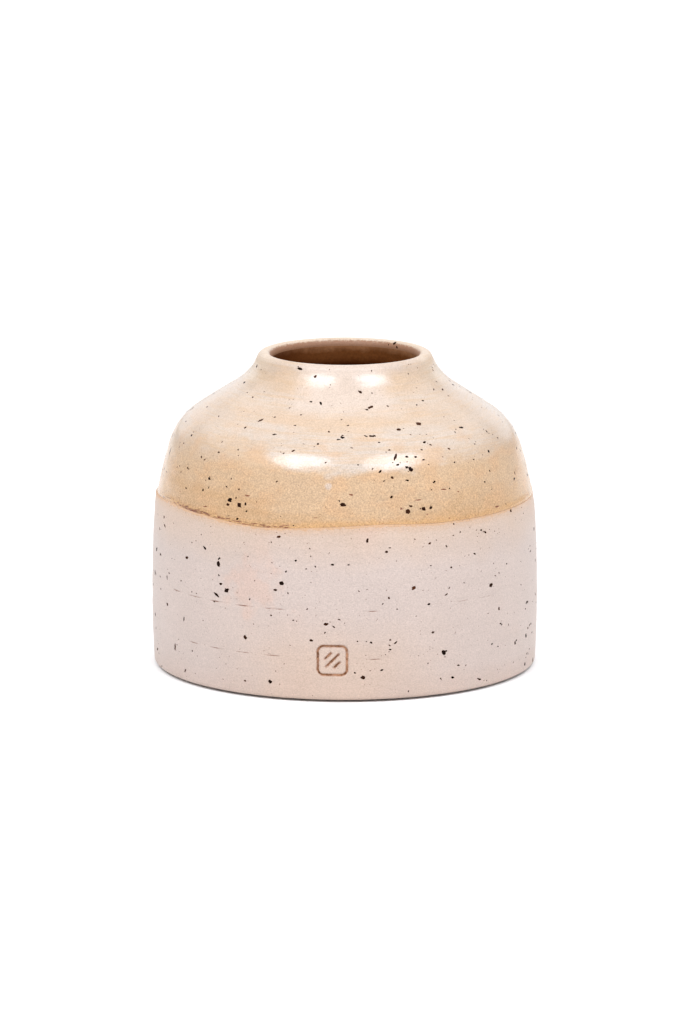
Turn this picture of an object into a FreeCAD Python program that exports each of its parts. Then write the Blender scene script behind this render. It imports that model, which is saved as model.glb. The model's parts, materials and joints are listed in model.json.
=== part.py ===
"""A small squat bud vase, wheel-thrown in speckled stoneware.

The lower wall is bare clay. A little above half of the height a ledge is turned into the clay, and the
shoulder, neck and lip above it are dipped in glaze. The inside has a poured liner glaze. A maker's chop is
pressed into the front, low on the wall, and iron oxide stains the bottom of its grooves.

Frame: millimetres, +Z up along the turning axis, origin in the middle of the foot's plane, chop facing -Y.
"""

import FreeCAD, Part
import math
import os
from collections import namedtuple

import Sketcher

SHEET = "Dimensions"

# Driving dimensions, in millimetres. A height is above the foot's plane, a radius is from the turning axis.
DIMENSIONS = [
    ("max_radius", 50.0, "largest radius of the bare wall"),
    ("belly_height", 19.0, "height of that largest radius"),
    ("wall_sweep", 320.0, "radius of the arc that the bare wall's outline follows"),
    ("edge_round", 0.9, "rounding of the wall's lower edge"),
    ("undercut_height", 0.6, "gap between the table and the wall's lower edge"),
    ("foot_outer", 45.0, "outer radius of the foot ring"),
    ("foot_inner", 36.0, "inner radius of the foot ring"),
    ("recess_depth", 1.2, "depth of the recess turned inside the foot ring"),
    ("recess_slope", 1.5, "how far the side of the recess leans in"),
    ("ledge_height", 44.9, "height of the ledge where the dipped glaze stops"),
    ("ledge_radius", 48.1, "radius of the clay just above the ledge"),
    ("ridge_round", 0.35, "rounding of the clay ridge outside the ledge"),
    ("upper_sweep", 76.5, "radius of the glazed outline's arc just above the ledge"),
    ("shoulder_radius", 30.3, "distance of the shoulder arc's centre from the axis"),
    ("shoulder_height", 52.4, "height of the shoulder arc's centre"),
    ("shoulder_round", 15.9, "radius of the glazed shoulder arc"),
    ("neck_height", 86.9, "height of the hollow neck arc's centre"),
    ("neck_round", 17.4, "radius of the glazed neck arc"),
    ("lip_radius", 20.75, "radius of the lip's crest"),
    ("lip_height", 79.5, "height of the lip arc's centre"),
    ("lip_round", 1.95, "radius of the glazed lip arc"),
    ("glaze_thickness", 0.35, "thickness of each glaze coat"),
    ("shoulder_wall", 4.2, "thickness of clay and outer glaze together at the shoulder"),
    ("throat_end", 76.0, "height where the straight throat begins to flare"),
    ("flare_round", 4.0, "radius of the flare below the throat"),
    ("cavity_radius", 45.2, "inner radius of the clay wall"),
    ("corner_round", 8.0, "rounding between the inner wall and the floor"),
    ("floor_height", 7.0, "height of the clay floor inside"),
    ("chop_height", 10.9, "height of the chop's centre"),
    ("chop_inset", 0.75, "depth of the chop's bottom inside the largest radius"),
    ("chop_size", 8.2, "outside width of the chop's square frame"),
    ("chop_corner", 1.9, "outside rounding of the chop's frame"),
    ("chop_line", 0.75, "width of the chop's lines"),
    ("stroke_pitch", 1.6, "spacing of the three slanting strokes in the frame"),
    ("long_stroke", 4.4, "straight length of the middle stroke"),
    ("short_stroke", 2.0, "straight length of the outer strokes"),
    ("oxide_thickness", 0.12, "thickness of the iron oxide at the bottom of the chop"),
]

STROKE_SLANT = 45
CUT_LENGTH = 3.0
SHAPE_TOLERANCE = 1e-6

# Directions, in degrees above level, that the smooth outline faces where one arc ends and the next begins.
# They only start the sketches' solver near its answer: the tangencies settle them.
LEDGE_FACING = 9
SWEEP_FACING = 18
CONE_FACING = 56
LIP_FACING = 22

START, END, CENTRE = 1, 2, 3
ORIGIN = (-1, 1)
LEVEL_AXIS = -1
TURNING_AXIS = -2
UP = FreeCAD.Vector(0, 0, 1)

Piece = namedtuple("Piece", "index first last")


class Size(float):
    """A length that remembers which spreadsheet formula it comes from."""

    def __new__(cls, value, formula):
        size = super().__new__(cls, value)
        size.formula = formula
        return size

    def __add__(self, other):
        total = float(self) + float(other)
        return Size(total, f"{self.formula} + {other.formula}") if isinstance(other, Size) else total

    def __sub__(self, other):
        left = float(self) - float(other)
        return Size(left, f"{self.formula} - ({other.formula})") if isinstance(other, Size) else left

    def __neg__(self):
        return Size(-float(self), f"-({self.formula})")

    def half(self):
        return Size(float(self) / 2, f"({self.formula}) / 2")


NONE = Size(0.0, "0")


class Outline:
    """A sketch made of pieces that are listed in the order of a walk along them."""

    def __init__(self, body, name):
        self.sketch = body.newObject("Sketcher::SketchObject", name)
        upright = next(plane for plane in body.Origin.OriginFeatures if plane.Role == "XZ_Plane")
        self.sketch.AttachmentSupport = [(upright, "")]
        self.sketch.MapMode = "FlatFace"

    def line(self, first, last):
        ends = FreeCAD.Vector(*first, 0), FreeCAD.Vector(*last, 0)
        return Piece(self.sketch.addGeometry(Part.LineSegment(*ends), False), START, END)

    def arc(self, centre, radius, first, last):
        """An arc walked from the direction first to the direction last, in degrees."""
        circle = Part.Circle(FreeCAD.Vector(*centre, 0), UP, float(radius))
        angles = [math.radians(angle) for angle in sorted((first, last))]
        index = self.sketch.addGeometry(Part.ArcOfCircle(circle, *angles), False)
        return Piece(index, START, END) if first < last else Piece(index, END, START)

    def rule(self, kind, *references):
        return self.sketch.addConstraint(Sketcher.Constraint(kind, *references))

    def sized(self, size, kind, *references):
        index = self.rule(kind, *references, float(size))
        self.sketch.setExpression(f"Constraints[{index}]", size.formula)

    def radius(self, arc, size):
        self.sized(size, "Radius", arc.index)

    def across(self, piece, end, size):
        self.sized(size, "DistanceX", *ORIGIN, piece.index, end)

    def above(self, piece, end, size):
        self.sized(size, "DistanceY", *ORIGIN, piece.index, end)

    def centre(self, arc, across, above):
        self.across(arc, CENTRE, across)
        self.above(arc, CENTRE, above)

    def join(self, a, a_end, b, b_end):
        self.rule("Coincident", a.index, a_end, b.index, b_end)

    def bridge(self, a, a_end, b, b_end):
        """A straight piece from one piece's end to another's."""
        piece = self.line((0, 0), (1, 1))
        self.join(a, a_end, piece, START)
        self.join(piece, END, b, b_end)
        return piece

    def smooth(self, *pieces):
        """Each piece runs into the next without a corner."""
        for a, b in zip(pieces, pieces[1:]):
            self.rule("Tangent", a.index, a.last, b.index, b.first)


def at(centre, radius, facing):
    """The point of a circle that lies in the direction facing, in degrees."""
    angle = math.radians(facing)
    return centre[0] + radius * math.cos(angle), centre[1] + radius * math.sin(angle)


def make_sheet(document):
    """The spreadsheet of driving dimensions, and the same sizes by name."""
    sheet = document.addObject("Spreadsheet::Sheet", SHEET)
    for row, (name, value, meaning) in enumerate(DIMENSIONS, start=1):
        sheet.set(f"A{row}", meaning)
        sheet.set(f"B{row}", str(value))
        sheet.setAlias(f"B{row}", name)
    document.recompute()
    return {name: Size(sheet.get(name), f"{SHEET}.{name}") for name, _, _ in DIMENSIONS}


def make_body(document, name):
    body = document.addObject("PartDesign::Body", name)
    body.Label = name
    body.Placement = FreeCAD.Placement()
    return body


def revolve(body, outline):
    turned = body.newObject("PartDesign::Revolution", f"{body.Name}_turned")
    turned.Profile = outline.sketch
    turned.ReferenceAxis = (outline.sketch, ["V_Axis"])
    turned.Angle = 360
    outline.sketch.Document.recompute()
    return turned


def outer_surface(outline, size, depth):
    """Ledge to throat over the shoulder, neck and lip, lying depth inside the glazed surface."""
    shoulder_centre = (size["shoulder_radius"], size["shoulder_height"])
    lip_centre = (size["lip_radius"], size["lip_height"])
    neck_rise = size["neck_height"] - size["lip_height"]
    neck_reach = math.sqrt((size["neck_round"] + size["lip_round"]) ** 2 - neck_rise ** 2)
    neck_centre = (size["lip_radius"] + neck_reach, size["neck_height"])
    wall_centre = at(shoulder_centre, size["shoulder_round"] - size["upper_sweep"], SWEEP_FACING)
    wall_round = size["upper_sweep"] - depth
    shoulder_round = size["shoulder_round"] - depth
    neck_round = size["neck_round"] + depth
    lip_round = size["lip_round"] - depth

    wall = outline.arc(wall_centre, wall_round, LEDGE_FACING, SWEEP_FACING)
    shoulder = outline.arc(shoulder_centre, shoulder_round, SWEEP_FACING, CONE_FACING)
    cone = outline.line(at(shoulder_centre, shoulder_round, CONE_FACING),
                        at(neck_centre, -neck_round, CONE_FACING))
    neck = outline.arc(neck_centre, neck_round, 180 + CONE_FACING, 180 + LIP_FACING)
    lip = outline.arc(lip_centre, lip_round, LIP_FACING, 180)

    outline.across(wall, wall.first, size["ledge_radius"] + size["glaze_thickness"] - depth)
    outline.above(wall, wall.first, size["ledge_height"])
    outline.radius(wall, wall_round)
    outline.centre(shoulder, *shoulder_centre)
    outline.radius(shoulder, shoulder_round)
    outline.above(neck, CENTRE, size["neck_height"])
    outline.radius(neck, neck_round)
    outline.centre(lip, *lip_centre)
    outline.radius(lip, lip_round)
    outline.rule("Horizontal", lip.index, CENTRE, lip.index, lip.last)
    outline.smooth(wall, shoulder, cone, neck, lip)
    return wall, lip


def throat_radius(size):
    """The inner radius of the clay at the throat."""
    return size["lip_radius"] - size["lip_round"] + size["glaze_thickness"]


def inner_surface(outline, size, coat):
    """Throat to the middle of the floor, lying coat inside the clay's inner surface."""
    shoulder_centre = (size["shoulder_radius"], size["shoulder_height"])
    throat_across = throat_radius(size) - coat
    flare_centre = (throat_radius(size) + size["flare_round"], size["throat_end"])
    wall_across = size["cavity_radius"] - coat
    corner_centre = (size["cavity_radius"] - size["corner_round"],
                     size["floor_height"] + size["corner_round"])
    shoulder_round = size["shoulder_round"] - size["shoulder_wall"] - coat
    sweep_round = size["upper_sweep"] - size["shoulder_wall"] - coat
    sweep_centre = at(shoulder_centre, shoulder_round - sweep_round, SWEEP_FACING)
    flare_round = size["flare_round"] + coat
    corner_round = size["corner_round"] - coat
    floor_above = size["floor_height"] + coat

    throat = outline.line((throat_across, size["lip_height"]), (throat_across, size["throat_end"]))
    flare = outline.arc(flare_centre, flare_round, 180, 180 + CONE_FACING)
    cone = outline.line(at(flare_centre, -flare_round, CONE_FACING),
                        at(shoulder_centre, shoulder_round, CONE_FACING))
    shoulder = outline.arc(shoulder_centre, shoulder_round, CONE_FACING, SWEEP_FACING)
    sweep = outline.arc(sweep_centre, sweep_round, SWEEP_FACING, 0)
    wall = outline.line((wall_across, sweep_centre[1]), (wall_across, corner_centre[1]))
    corner = outline.arc(corner_centre, corner_round, 0, -90)
    floor = outline.line((corner_centre[0], floor_above), (0, floor_above))

    outline.rule("Vertical", throat.index)
    outline.above(flare, CENTRE, size["throat_end"])
    outline.radius(flare, flare_round)
    outline.centre(shoulder, *shoulder_centre)
    outline.radius(shoulder, shoulder_round)
    outline.radius(sweep, sweep_round)
    outline.rule("Vertical", wall.index)
    outline.across(wall, wall.last, wall_across)
    outline.radius(corner, corner_round)
    outline.rule("Horizontal", floor.index)
    outline.above(floor, floor.last, floor_above)
    outline.rule("PointOnObject", floor.index, floor.last, TURNING_AXIS)
    outline.smooth(throat, flare, cone, shoulder, sweep, wall, corner, floor)
    return throat, floor


def bare_wall(outline, size, ledge_end):
    """Middle of the foot's recess, out over the foot ring and undercut, up the bare wall to the ledge."""
    recess_across = size["foot_inner"] - size["recess_slope"]
    wall_centre = (size["max_radius"] - size["wall_sweep"], size["belly_height"])
    edge_across = size["max_radius"] - size["edge_round"]
    ridge_centre = (size["max_radius"] - size["ridge_round"], size["ledge_height"] - size["ridge_round"])
    edge_centre = (edge_across, size["undercut_height"] + size["edge_round"])

    recess = outline.line((0, size["recess_depth"]), (recess_across, size["recess_depth"]))
    foot = outline.line((size["foot_inner"], 0), (size["foot_outer"], 0))
    outline.bridge(recess, recess.last, foot, foot.first)
    foot_side = outline.line((size["foot_outer"], 0), (size["foot_outer"], size["undercut_height"]))
    undercut = outline.line((size["foot_outer"], size["undercut_height"]),
                            at(edge_centre, size["edge_round"], -90))
    edge = outline.arc(edge_centre, size["edge_round"], -90, 0)
    wall = outline.arc(wall_centre, size["wall_sweep"], -3, 4)
    ridge = outline.arc(ridge_centre, size["ridge_round"], 4, 90)
    ledge = outline.line(at(ridge_centre, size["ridge_round"], 90),
                         (size["ledge_radius"], size["ledge_height"]))

    outline.rule("Horizontal", recess.index)
    outline.rule("PointOnObject", recess.index, recess.first, TURNING_AXIS)
    outline.above(recess, recess.last, size["recess_depth"])
    outline.across(recess, recess.last, recess_across)
    outline.rule("Horizontal", foot.index)
    outline.rule("PointOnObject", foot.index, foot.first, LEVEL_AXIS)
    outline.across(foot, foot.first, size["foot_inner"])
    outline.across(foot, foot.last, size["foot_outer"])
    outline.join(foot, foot.last, foot_side, foot_side.first)
    outline.rule("Vertical", foot_side.index)
    outline.above(foot_side, foot_side.last, size["undercut_height"])
    outline.join(foot_side, foot_side.last, undercut, undercut.first)
    outline.rule("Horizontal", undercut.index)
    outline.radius(edge, size["edge_round"])
    outline.centre(wall, *wall_centre)
    outline.radius(wall, size["wall_sweep"])
    outline.radius(ridge, size["ridge_round"])
    outline.rule("Horizontal", ledge.index)
    outline.smooth(undercut, edge, wall, ridge, ledge)
    outline.join(ledge, ledge.last, *ledge_end)
    return recess


def rounded_square(outline, width, corner_round):
    """A square about the sketch's origin with rounded corners, walked anticlockwise from its right side."""
    half = width.half()
    inset = half - corner_round
    sides = []
    corners = []
    for quarter in range(4):
        turn = FreeCAD.Rotation(UP, 90 * quarter)
        ends = [turn.multVec(FreeCAD.Vector(half, reach, 0)) for reach in (-inset, inset)]
        middle = turn.multVec(FreeCAD.Vector(inset, inset, 0))
        sides.append(outline.line(*[(end.x, end.y) for end in ends]))
        corners.append(outline.arc((middle.x, middle.y), corner_round, 90 * quarter, 90 * quarter + 90))
    outline.smooth(*[piece for pair in zip(sides, corners) for piece in pair], sides[0])
    for corner in corners:
        outline.radius(corner, corner_round)
    for side, reach in zip(sides[::2], (half, -half)):
        outline.rule("Vertical", side.index)
        outline.across(side, side.last, reach)
    for side, reach in zip(sides[1::2], (half, -half)):
        outline.rule("Horizontal", side.index)
        outline.above(side, side.last, reach)


def stroke(outline, length, width, offset):
    """A round-ended groove along the sketch's level axis, offset sideways from the origin."""
    reach = length.half()
    end_round = width.half()
    right = outline.arc((reach, offset), end_round, -90, 90)
    top = outline.line((reach, offset + end_round), (-reach, offset + end_round))
    left = outline.arc((-reach, offset), end_round, 90, 270)
    low = outline.line((-reach, offset - end_round), (reach, offset - end_round))
    outline.smooth(right, top, left, low, right)
    outline.rule("Horizontal", top.index)
    outline.radius(right, end_round)
    outline.radius(left, end_round)
    outline.centre(right, reach, offset)
    outline.across(left, CENTRE, -reach)


def chop_sketches(body, size):
    """The chop's square frame and its three slanting strokes, lying on the bottom of the impression."""
    frame = Outline(body, f"{body.Name}_frame")
    rounded_square(frame, size["chop_size"], size["chop_corner"])
    line_widths = size["chop_line"] + size["chop_line"]
    rounded_square(frame, size["chop_size"] - line_widths, size["chop_corner"] - size["chop_line"])

    strokes = Outline(body, f"{body.Name}_strokes")
    for offset, length in ((-size["stroke_pitch"], size["short_stroke"]),
                           (NONE, size["long_stroke"]),
                           (size["stroke_pitch"], size["short_stroke"])):
        stroke(strokes, length, size["chop_line"], offset)

    outlines = {"frame": frame, "strokes": strokes}
    for name, slant in (("frame", 0), ("strokes", STROKE_SLANT)):
        sketch = outlines[name].sketch
        sketch.AttachmentOffset = FreeCAD.Placement(FreeCAD.Vector(0, 0, 0), FreeCAD.Rotation(UP, slant))
        sketch.setExpression(".AttachmentOffset.Base.y", size["chop_height"].formula)
        sketch.setExpression(".AttachmentOffset.Base.z", (size["max_radius"] - size["chop_inset"]).formula)
    return outlines


def make_stoneware_body(document, size):
    """The thrown and turned clay: foot, wall, ledge, shoulder, neck and lip, with the chop pressed in."""
    body = make_body(document, "stoneware_body")
    outline = Outline(body, "clay_section")
    upper_wall, lip = outer_surface(outline, size, size["glaze_thickness"])
    recess = bare_wall(outline, size, (upper_wall, upper_wall.first))
    throat, floor = inner_surface(outline, size, NONE)
    outline.join(lip, lip.last, throat, throat.first)
    outline.bridge(floor, floor.last, recess, recess.first)
    thrown = revolve(body, outline)

    volume_before = thrown.Shape.Volume
    for name, chop in chop_sketches(body, size).items():
        pressed = body.newObject("PartDesign::Pocket", f"pressed_{name}")
        pressed.Profile = chop.sketch
        pressed.Length = CUT_LENGTH
        pressed.Reversed = True
        document.recompute()
        volume_after = pressed.Shape.Volume
        if volume_after > volume_before - SHAPE_TOLERANCE:
            raise RuntimeError(f"the chop's {name} cut nothing")
        volume_before = volume_after
    return body


def make_shoulder_glaze(document, size):
    """The dipped coat, from the ledge over the shoulder, neck and lip to the top of the throat."""
    body = make_body(document, "shoulder_glaze")
    outline = Outline(body, "dipped_coat_section")
    glazed_wall, glazed_lip = outer_surface(outline, size, NONE)
    clay_wall, clay_lip = outer_surface(outline, size, size["glaze_thickness"])
    outline.bridge(clay_wall, clay_wall.first, glazed_wall, glazed_wall.first)
    outline.bridge(glazed_lip, glazed_lip.last, clay_lip, clay_lip.last)
    revolve(body, outline)
    return body


def make_liner_glaze(document, size):
    """The poured coat, from the top of the throat down the inner wall and over the floor."""
    body = make_body(document, "liner_glaze")
    outline = Outline(body, "poured_coat_section")
    clay_throat, clay_floor = inner_surface(outline, size, NONE)
    glazed_throat, glazed_floor = inner_surface(outline, size, size["glaze_thickness"])
    outline.across(clay_throat, clay_throat.first, throat_radius(size))
    outline.above(clay_throat, clay_throat.first, size["lip_height"])
    outline.across(glazed_throat, glazed_throat.first, throat_radius(size) - size["glaze_thickness"])
    outline.above(glazed_throat, glazed_throat.first, size["lip_height"])
    outline.bridge(clay_throat, clay_throat.first, glazed_throat, glazed_throat.first)
    outline.bridge(glazed_floor, glazed_floor.last, clay_floor, clay_floor.last)
    revolve(body, outline)
    return body


def make_stamp_oxide(document, size):
    """The iron oxide wash left at the bottom of the chop's grooves."""
    body = make_body(document, "stamp_oxide")
    body.AllowCompound = True
    for name, chop in chop_sketches(body, size).items():
        wash = body.newObject("PartDesign::Pad", f"wash_{name}")
        wash.Profile = chop.sketch
        wash.Length = float(size["oxide_thickness"])
        wash.setExpression("Length", size["oxide_thickness"].formula)
        document.recompute()
    return body


def check(document, bodies):
    """Stop on any failed object, loose sketch or faulty shape."""
    for item in document.Objects:
        if {"Invalid", "Error"} & set(item.State):
            raise RuntimeError(f"{item.Name} failed: {item.State}")
        if item.TypeId == "Sketcher::SketchObject" and not item.FullyConstrained:
            raise RuntimeError(f"{item.Name} is not fully constrained")
    for body in bodies:
        if body.Shape.isNull() or not body.Shape.isValid() or not body.Shape.Solids:
            raise RuntimeError(f"{body.Label} has no valid shape")


def main():
    document = FreeCAD.newDocument("BudVase")
    size = make_sheet(document)
    makers = (make_stoneware_body, make_shoulder_glaze, make_liner_glaze, make_stamp_oxide)
    bodies = [make(document, size) for make in makers]
    document.recompute()
    check(document, bodies)
    os.makedirs("parts", exist_ok=True)
    for body in bodies:
        body.Shape.exportStep(os.path.join("parts", f"{body.Label}.step"))
        print(f"{body.Label}: {len(body.Shape.Solids)} solid(s), {body.Shape.Volume:.0f} mm3")


main()
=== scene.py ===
"""The looks of the squat stoneware bud vase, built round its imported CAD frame.

Lengths in this script are in millimetres and become metres when a mesh or lamp is made. An azimuth is in
radians about the turning axis: 0 is the front, where the chop is, and it grows towards +X.
"""

import json
import math
from collections import namedtuple

import bpy
import numpy as np
from mathutils import Euler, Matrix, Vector


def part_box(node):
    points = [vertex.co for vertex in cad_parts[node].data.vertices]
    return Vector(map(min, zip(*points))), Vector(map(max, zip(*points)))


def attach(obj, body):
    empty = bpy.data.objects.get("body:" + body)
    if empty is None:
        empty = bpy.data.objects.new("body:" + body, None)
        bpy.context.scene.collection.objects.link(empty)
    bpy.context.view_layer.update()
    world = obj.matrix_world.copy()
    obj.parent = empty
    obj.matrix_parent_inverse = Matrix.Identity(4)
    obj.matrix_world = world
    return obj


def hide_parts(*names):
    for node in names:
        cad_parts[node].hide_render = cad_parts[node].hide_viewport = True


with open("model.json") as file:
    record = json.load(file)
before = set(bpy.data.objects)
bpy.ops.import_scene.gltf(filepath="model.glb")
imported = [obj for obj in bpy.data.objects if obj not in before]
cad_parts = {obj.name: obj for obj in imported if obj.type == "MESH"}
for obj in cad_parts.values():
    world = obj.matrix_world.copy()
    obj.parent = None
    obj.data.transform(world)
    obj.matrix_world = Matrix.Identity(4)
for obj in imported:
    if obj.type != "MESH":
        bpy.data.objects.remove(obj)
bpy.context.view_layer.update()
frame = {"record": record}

MM = 0.001
SEED = 20


def box_mm(node):
    """A CAD node's lowest and highest corners, in millimetres."""
    return [Vector(corner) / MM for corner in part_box(node)]


CLAY_HIGH = box_mm("stoneware_body")[1]
DIPPED_LOW, DIPPED_HIGH = box_mm("shoulder_glaze")
LINER_LOW, LINER_HIGH = box_mm("liner_glaze")
CHOP_LOW, CHOP_HIGH = box_mm("stamp_oxide")
MOUNTS = {mount["name"]: mount for mount in frame["record"]["mounts"]}

# Sizes that the frame gives.
MAX_RADIUS = CLAY_HIGH.x
LEDGE_HEIGHT = DIPPED_LOW.z
LIP_HEIGHT = LINER_HIGH.z
LIP_ROUND = DIPPED_HIGH.z - LINER_HIGH.z
THROAT_RADIUS = MOUNTS["mouth"]["dims"]["r_mm"]
FLOOR_HEIGHT = LINER_LOW.z
CHOP_SIZE = CHOP_HIGH.x - CHOP_LOW.x
CHOP_HEIGHT = (CHOP_LOW.z + CHOP_HIGH.z) / 2

# The rest of the turned section: the same arcs as the CAD solids have.
GLAZE = 0.35
WALL_SWEEP = 320.0
BELLY_HEIGHT = 19.0
EDGE_ROUND = 0.9
UNDERCUT_HEIGHT = 0.6
FOOT_OUTER = 45.0
FOOT_INNER = 36.0
FOOT_ROUND = 0.5
RECESS_DEPTH = 1.2
RECESS_SLOPE = 1.5
LEDGE_RADIUS = 48.1
RIDGE_ROUND = 0.35
UPPER_SWEEP = 76.5
SHOULDER_CENTRE = (30.3, 52.4)
SHOULDER_ROUND = 15.9
SHOULDER_WALL = 4.2
NECK_HEIGHT = 86.9
NECK_ROUND = 17.4
THROAT_END = 76.0
FLARE_ROUND = 4.0
CAVITY_RADIUS = 45.2
CORNER_ROUND = 8.0

# The chop: a square frame round three slanting strokes, each given as sideways offset and straight length.
CHOP_LINE = 0.75
CHOP_CORNER = 1.9
CHOP_DEPTH = 0.5
CHOP_MARGIN = 0.8
CHOP_SOFT = 0.14
STROKE_SLANT = math.radians(45)
STROKES = ((-1.6, 2.0), (0.0, 4.4), (1.6, 2.0))

# Mesh density.
WALL_STEP = 0.4
FINE_STEP = 0.13
HIDDEN_STEP = 4.0
ROUND_STEP = 1.1
SHARP_ANGLE = math.radians(50)


# ---------------------------------------------------------------- the turned section

def towards(centre, radius, degrees):
    angle = math.radians(degrees)
    return centre[0] + radius * math.cos(angle), centre[1] + radius * math.sin(angle)


def arc(centre, radius, first, last, step):
    """Points along an arc from one direction to another, in degrees. A negative radius makes a hollow arc."""
    count = max(2, math.ceil(abs(radius * math.radians(last - first)) / step))
    return [towards(centre, radius, angle) for angle in np.linspace(first, last, count + 1)]


def line(first, last, step):
    count = max(1, math.ceil(math.dist(first, last) / step))
    return [tuple(point) for point in np.linspace(first, last, count + 1)]


def chain(*pieces):
    """The pieces' points as one walk, without the points that repeat where two pieces meet."""
    walk = [pieces[0][0]]
    for point in (point for piece in pieces for point in piece):
        if math.dist(point, walk[-1]) > 1e-3:
            walk.append(point)
    return np.array(walk)


def direction(a, b):
    """Direction from point a to point b, in degrees."""
    return math.degrees(math.atan2(b[1] - a[1], b[0] - a[0]))


def cone_facing(a, a_round, b, b_round):
    """Direction faced by the straight cone that runs off a round at a into a hollow round b."""
    return direction(a, b) - math.degrees(math.acos((a_round + b_round) / math.dist(a, b)))


def sweep_centre(near, near_round, on, sweep):
    """Centre of an arc of radius sweep through the point on. The round at near touches it from inside."""
    gap = math.dist(near, on)
    reach = sweep - near_round
    along = (reach ** 2 - sweep ** 2 + gap ** 2) / (2 * gap)
    aside = math.sqrt(reach ** 2 - along ** 2)
    across, up = (on[0] - near[0]) / gap, (on[1] - near[1]) / gap
    return near[0] + across * along + up * aside, near[1] + up * along - across * aside


WALL_CENTRE = (MAX_RADIUS - WALL_SWEEP, BELLY_HEIGHT)
LEDGE_POINT = (LEDGE_RADIUS + GLAZE, LEDGE_HEIGHT)
LIP_CENTRE = (THROAT_RADIUS + LIP_ROUND, LIP_HEIGHT)
NECK_REACH = math.sqrt((NECK_ROUND + LIP_ROUND) ** 2 - (NECK_HEIGHT - LIP_HEIGHT) ** 2)
NECK_CENTRE = (LIP_CENTRE[0] + NECK_REACH, NECK_HEIGHT)
UPPER_CENTRE = sweep_centre(SHOULDER_CENTRE, SHOULDER_ROUND, LEDGE_POINT, UPPER_SWEEP)


def over_shoulder(depth, step):
    """Ledge to throat over shoulder, neck and lip, lying depth inside the glazed surface."""
    upper = UPPER_SWEEP - depth
    foot = math.degrees(math.asin((LEDGE_HEIGHT - UPPER_CENTRE[1]) / upper))
    sweep = direction(UPPER_CENTRE, SHOULDER_CENTRE)
    cone = cone_facing(SHOULDER_CENTRE, SHOULDER_ROUND, NECK_CENTRE, NECK_ROUND)
    lip = direction(LIP_CENTRE, NECK_CENTRE)
    shoulder_round = SHOULDER_ROUND - depth
    neck_round = NECK_ROUND + depth
    return chain(
        arc(UPPER_CENTRE, upper, foot, sweep, step),
        arc(SHOULDER_CENTRE, shoulder_round, sweep, cone, step),
        line(towards(SHOULDER_CENTRE, shoulder_round, cone), towards(NECK_CENTRE, -neck_round, cone), step),
        arc(NECK_CENTRE, -neck_round, cone, lip, step),
        arc(LIP_CENTRE, LIP_ROUND - depth, lip, 180, step / 2),
    )


def down_inside(coat, step):
    """Throat to the middle of the floor, lying coat inside the clay's inner surface."""
    clay_throat = THROAT_RADIUS + GLAZE
    flare_centre = (clay_throat + FLARE_ROUND, THROAT_END)
    flare_round = FLARE_ROUND + coat
    shoulder_round = SHOULDER_ROUND - SHOULDER_WALL - coat
    sweep_round = UPPER_SWEEP - SHOULDER_WALL - coat
    wall = CAVITY_RADIUS - coat
    across = SHOULDER_CENTRE[0] - (wall - sweep_round)
    rise = math.sqrt((sweep_round - shoulder_round) ** 2 - across ** 2)
    centre = (wall - sweep_round, SHOULDER_CENTRE[1] - rise)
    sweep = direction(centre, SHOULDER_CENTRE)
    corner_centre = (CAVITY_RADIUS - CORNER_ROUND, FLOOR_HEIGHT + CORNER_ROUND)
    cone = cone_facing(SHOULDER_CENTRE, shoulder_round, flare_centre, flare_round)
    return chain(
        line((clay_throat - coat, LIP_HEIGHT), (clay_throat - coat, THROAT_END), step),
        arc(flare_centre, -flare_round, 0, cone, step),
        line(towards(flare_centre, -flare_round, cone), towards(SHOULDER_CENTRE, shoulder_round, cone), step),
        arc(SHOULDER_CENTRE, shoulder_round, cone, sweep, step),
        arc(centre, sweep_round, sweep, 0, step),
        line((wall, centre[1]), (wall, corner_centre[1]), step),
        arc(corner_centre, CORNER_ROUND - coat, 0, -90, step / 2),
        line((corner_centre[0], FLOOR_HEIGHT + coat), (0, FLOOR_HEIGHT + coat), step),
    )


def against_wall(height, rounding):
    """Centre of a round at a height that touches the bare wall from inside, and the touch's direction."""
    across = math.sqrt((WALL_SWEEP - rounding) ** 2 - (height - BELLY_HEIGHT) ** 2)
    centre = (WALL_CENTRE[0] + across, height)
    return centre, direction(WALL_CENTRE, centre)


EDGE_CENTRE, EDGE_TOUCH = against_wall(UNDERCUT_HEIGHT + EDGE_ROUND, EDGE_ROUND)
RIDGE_CENTRE, RIDGE_TOUCH = against_wall(LEDGE_HEIGHT - RIDGE_ROUND, RIDGE_ROUND)


def under_foot():
    """Middle of the recess, out over the foot ring and the undercut."""
    inner, outer = FOOT_INNER + FOOT_ROUND, FOOT_OUTER - FOOT_ROUND
    recess = FOOT_INNER - RECESS_SLOPE
    return chain(
        line((0, RECESS_DEPTH), (recess, RECESS_DEPTH), HIDDEN_STEP),
        line((recess, RECESS_DEPTH), (FOOT_INNER, FOOT_ROUND), WALL_STEP),
        arc((inner, FOOT_ROUND), FOOT_ROUND, 180, 270, WALL_STEP / 2),
        line((inner, 0), (outer, 0), 1.5),
        arc((outer, FOOT_ROUND), FOOT_ROUND, -90, 0, WALL_STEP / 2),
        line((FOOT_OUTER, UNDERCUT_HEIGHT), (EDGE_CENTRE[0], UNDERCUT_HEIGHT), 1.0),
    )


def wall_direction(height):
    """Direction from the wall's centre to its point at a height, in degrees."""
    return math.degrees(math.asin((height - BELLY_HEIGHT) / WALL_SWEEP))


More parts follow.
